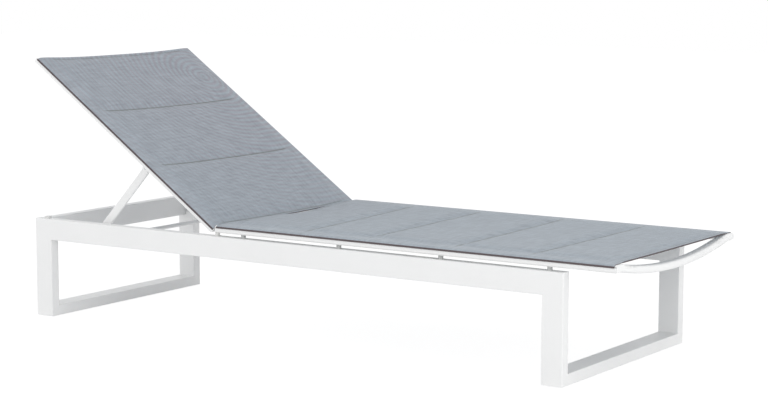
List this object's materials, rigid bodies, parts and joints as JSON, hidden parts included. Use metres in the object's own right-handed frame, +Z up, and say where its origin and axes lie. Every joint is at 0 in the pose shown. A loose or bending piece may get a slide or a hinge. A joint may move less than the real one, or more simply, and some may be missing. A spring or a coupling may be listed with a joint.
{
  "type": "chaise lounge",
  "caption": "Sun lounger on two sled legs, with a white tube frame, padded mesh slings and a back that a prop holds at different angles.",
  "frame": {"origin": "on the floor, under the middle of the lounger's box as it stands with its back raised", "axes": "+X from the head end towards the foot end, +Y to the left of a person who lies on it and looks at their feet, +Z up"},
  "size_m": [1.8962, 0.678, 0.7532],
  "materials": {
    "frame_white": "satin",
    "grey_plastic": "matte",
    "light_nylon": "matte",
    "bumper_rubber": "matte",
    "bolt_steel": "satin",
    "keder_cord": "matte",
    "sling_mesh": "matte"
  },
  "bodies": {
    "base": {"side_rail_left": "frame_white", "side_rail_right": "frame_white", "leg_head_left": "frame_white", "leg_head_right": "frame_white", "leg_foot_left": "frame_white", "leg_foot_right": "frame_white", "floor_bar_head": "frame_white", "floor_bar_foot": "frame_white", "head_rail": "frame_white", "floor_glides": "grey_plastic", "rack_left": "frame_white", "rack_right": "frame_white", "rack_screws": "bolt_steel", "back_bumpers": "bumper_rubber", "frame_spacers": "grey_plastic", "hinge_spacers": "light_nylon", "frame_screws": "bolt_steel", "rail_inserts": "bolt_steel", "seat_tube_left": "frame_white", "seat_tube_right": "frame_white", "seat_foot_bar": "frame_white", "seat_mid_tube": "frame_white", "seat_rear_tube": "frame_white", "seat_end_caps": "frame_white", "hinge_plate_left": "frame_white", "hinge_plate_right": "frame_white", "hinge_bolts": "bolt_steel", "hinge_rivets": "bolt_steel", "seat_keder_rods": "keder_cord", "seat_sling": "sling_mesh"},
    "backrest": {"back_tube_left": "frame_white", "back_tube_right": "frame_white", "back_top_bar": "frame_white", "back_cross_tube": "frame_white", "hinge_knuckles": "frame_white", "prop_lugs": "frame_white", "prop_bolts": "bolt_steel", "prop_washers": "light_nylon", "back_keder_rods": "keder_cord", "back_sling": "sling_mesh"},
    "prop": {"prop_arm_left": "frame_white", "prop_arm_right": "frame_white", "prop_cross_bar": "frame_white", "prop_bar_plugs": "grey_plastic"}
  },
  "joints": [
    {"name": "backrest_recline", "type": "hinge", "parent": "base", "child": "backrest", "pos_m": [-0.29378, 0, 0.307], "axis": [0, 1, 0], "range_deg": [-35, 10.3]},
    {"name": "prop_swing", "type": "hinge", "parent": "backrest", "child": "prop", "pos_m": [-0.54702, 0, 0.45316], "axis": [0, 1, 0], "range_deg": [-22.2, 75]}
  ],
  "couplings": [
    {"joint": "prop_swing", "follows": "backrest_recline", "ratio": -2.1251}
  ]
}
